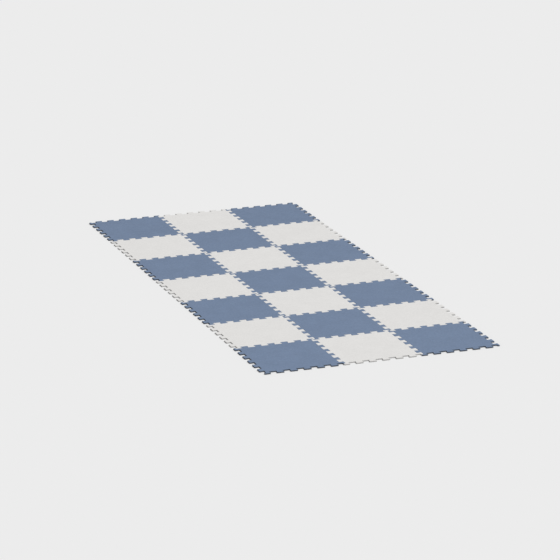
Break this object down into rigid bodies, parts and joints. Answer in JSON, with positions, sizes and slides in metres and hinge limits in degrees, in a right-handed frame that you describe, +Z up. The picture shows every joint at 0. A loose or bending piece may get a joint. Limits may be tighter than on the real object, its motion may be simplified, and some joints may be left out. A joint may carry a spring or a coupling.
{
  "type": "blocking mats",
  "caption": "Flat checkerboard floor mat of square interlocking foam tiles with dovetail-toothed edges, for pinning out damp knitting to shape.",
  "frame": {"origin": "on the ground under the centre of the middle tile, which is the centre of the laid mat", "axes": "+X across the mat from the left column to the right, +Y along it from the front row to the back, +Z up from the floor"},
  "size_m": [1.8624, 4.3008, 0.0095],
  "materials": {
    "slate_foam": "matt closed-cell EVA foam, slate blue, finely grained skin",
    "ivory_foam": "matt closed-cell EVA foam, off-white, finely grained skin"
  },
  "bodies": {
    "row1_left": {"tile_row1_left": "slate_foam"},
    "row1_middle": {"tile_row1_middle": "ivory_foam"},
    "row1_right": {"tile_row1_right": "slate_foam"},
    "row2_left": {"tile_row2_left": "ivory_foam"},
    "row2_middle": {"tile_row2_middle": "slate_foam"},
    "row2_right": {"tile_row2_right": "ivory_foam"},
    "row3_left": {"tile_row3_left": "slate_foam"},
    "row3_middle": {"tile_row3_middle": "ivory_foam"},
    "row3_right": {"tile_row3_right": "slate_foam"},
    "row4_left": {"tile_row4_left": "ivory_foam"},
    "row4_middle": {"tile_row4_middle": "slate_foam"},
    "row4_right": {"tile_row4_right": "ivory_foam"},
    "row5_left": {"tile_row5_left": "slate_foam"},
    "row5_middle": {"tile_row5_middle": "ivory_foam"},
    "row5_right": {"tile_row5_right": "slate_foam"},
    "row6_left": {"tile_row6_left": "ivory_foam"},
    "row6_middle": {"tile_row6_middle": "slate_foam"},
    "row6_right": {"tile_row6_right": "ivory_foam"},
    "row7_left": {"tile_row7_left": "slate_foam"},
    "row7_middle": {"tile_row7_middle": "ivory_foam"},
    "row7_right": {"tile_row7_right": "slate_foam"}
  },
  "joints": [
    {"name": "lift_row1_left", "type": "slide", "parent": "row4_middle", "child": "row1_left", "axis": [0, 0, 1], "range_m": [0, 0.05]},
    {"name": "lift_row1_middle", "type": "slide", "parent": "row4_middle", "child": "row1_middle", "axis": [0, 0, 1], "range_m": [0, 0.05]},
    {"name": "lift_row1_right", "type": "slide", "parent": "row4_middle", "child": "row1_right", "axis": [0, 0, 1], "range_m": [0, 0.05]},
    {"name": "lift_row2_left", "type": "slide", "parent": "row4_middle", "child": "row2_left", "axis": [0, 0, 1], "range_m": [0, 0.05]},
    {"name": "lift_row2_middle", "type": "slide", "parent": "row4_middle", "child": "row2_middle", "axis": [0, 0, 1], "range_m": [0, 0.05]},
    {"name": "lift_row2_right", "type": "slide", "parent": "row4_middle", "child": "row2_right", "axis": [0, 0, 1], "range_m": [0, 0.05]},
    {"name": "lift_row3_left", "type": "slide", "parent": "row4_middle", "child": "row3_left", "axis": [0, 0, 1], "range_m": [0, 0.05]},
    {"name": "lift_row3_middle", "type": "slide", "parent": "row4_middle", "child": "row3_middle", "axis": [0, 0, 1], "range_m": [0, 0.05]},
    {"name": "lift_row3_right", "type": "slide", "parent": "row4_middle", "child": "row3_right", "axis": [0, 0, 1], "range_m": [0, 0.05]},
    {"name": "lift_row4_left", "type": "slide", "parent": "row4_middle", "child": "row4_left", "axis": [0, 0, 1], "range_m": [0, 0.05]},
    {"name": "lift_row4_right", "type": "slide", "parent": "row4_middle", "child": "row4_right", "axis": [0, 0, 1], "range_m": [0, 0.05]},
    {"name": "lift_row5_left", "type": "slide", "parent": "row4_middle", "child": "row5_left", "axis": [0, 0, 1], "range_m": [0, 0.05]},
    {"name": "lift_row5_middle", "type": "slide", "parent": "row4_middle", "child": "row5_middle", "axis": [0, 0, 1], "range_m": [0, 0.05]},
    {"name": "lift_row5_right", "type": "slide", "parent": "row4_middle", "child": "row5_right", "axis": [0, 0, 1], "range_m": [0, 0.05]},
    {"name": "lift_row6_left", "type": "slide", "parent": "row4_middle", "child": "row6_left", "axis": [0, 0, 1], "range_m": [0, 0.05]},
    {"name": "lift_row6_middle", "type": "slide", "parent": "row4_middle", "child": "row6_middle", "axis": [0, 0, 1], "range_m": [0, 0.05]},
    {"name": "lift_row6_right", "type": "slide", "parent": "row4_middle", "child": "row6_right", "axis": [0, 0, 1], "range_m": [0, 0.05]},
    {"name": "lift_row7_left", "type": "slide", "parent": "row4_middle", "child": "row7_left", "axis": [0, 0, 1], "range_m": [0, 0.05]},
    {"name": "lift_row7_middle", "type": "slide", "parent": "row4_middle", "child": "row7_middle", "axis": [0, 0, 1], "range_m": [0, 0.05]},
    {"name": "lift_row7_right", "type": "slide", "parent": "row4_middle", "child": "row7_right", "axis": [0, 0, 1], "range_m": [0, 0.05]}
  ]
}
